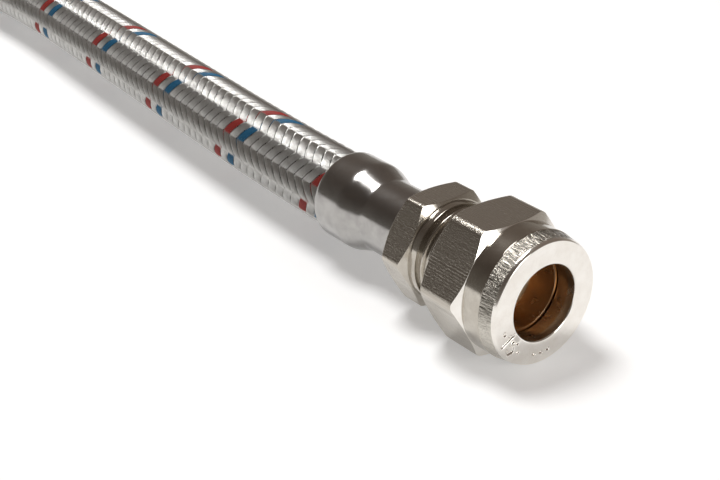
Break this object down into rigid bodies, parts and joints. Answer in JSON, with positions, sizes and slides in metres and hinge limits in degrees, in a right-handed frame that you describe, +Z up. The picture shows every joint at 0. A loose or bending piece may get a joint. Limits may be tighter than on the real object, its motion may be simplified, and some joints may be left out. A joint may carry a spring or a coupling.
{
  "type": "flexible hose connector",
  "caption": "Braided flexible hose connector with a compression nut for a plain pipe at one end and a swivel nut at the other.",
  "frame": {"origin": "centre of the length between the two nuts, on the surface the connector rests on", "axes": "+X along the hose towards the compression nut, +Z up"},
  "size_m": [0.3, 0.038, 0.0262],
  "materials": {
    "nickel_plate": "nickel plated, part polished and part as cast",
    "bare_brass": "turned",
    "stainless_sleeve": "polished",
    "hose_rubber": "matt",
    "steel_braid": "woven wire",
    "washer_fibre": "matt fibre"
  },
  "bodies": {
    "hose_assembly": {"compression_body": "nickel_plate", "ferrule_near": "stainless_sleeve", "inner_hose": "hose_rubber", "braid_sleeve": "steel_braid", "ferrule_far": "stainless_sleeve", "tail_insert": "nickel_plate", "sealing_washer": "washer_fibre"},
    "olive_ring": {"olive": "bare_brass"},
    "compression_nut": {"compression_nut": "nickel_plate"},
    "swivel_nut": {"swivel_nut": "nickel_plate"}
  },
  "joints": [
    {"name": "nut_travel", "type": "slide", "parent": "hose_assembly", "child": "olive_ring", "axis": [1, 0, 0], "range_m": [0, 0.0091]},
    {"name": "nut_turn", "type": "hinge", "parent": "olive_ring", "child": "compression_nut", "pos_m": [0.14, -0.0039, 0.0131], "axis": [1, 0, 0], "range_deg": [0, 1800]},
    {"name": "swivel_turn", "type": "hinge", "parent": "hose_assembly", "child": "swivel_nut", "pos_m": [-0.142, 0.00517, 0.012], "axis": [1, 0, 0], "continuous": true}
  ],
  "couplings": [
    {"joint": "nut_travel", "follows": "nut_turn", "m_per_rad": 0.0002887}
  ]
}
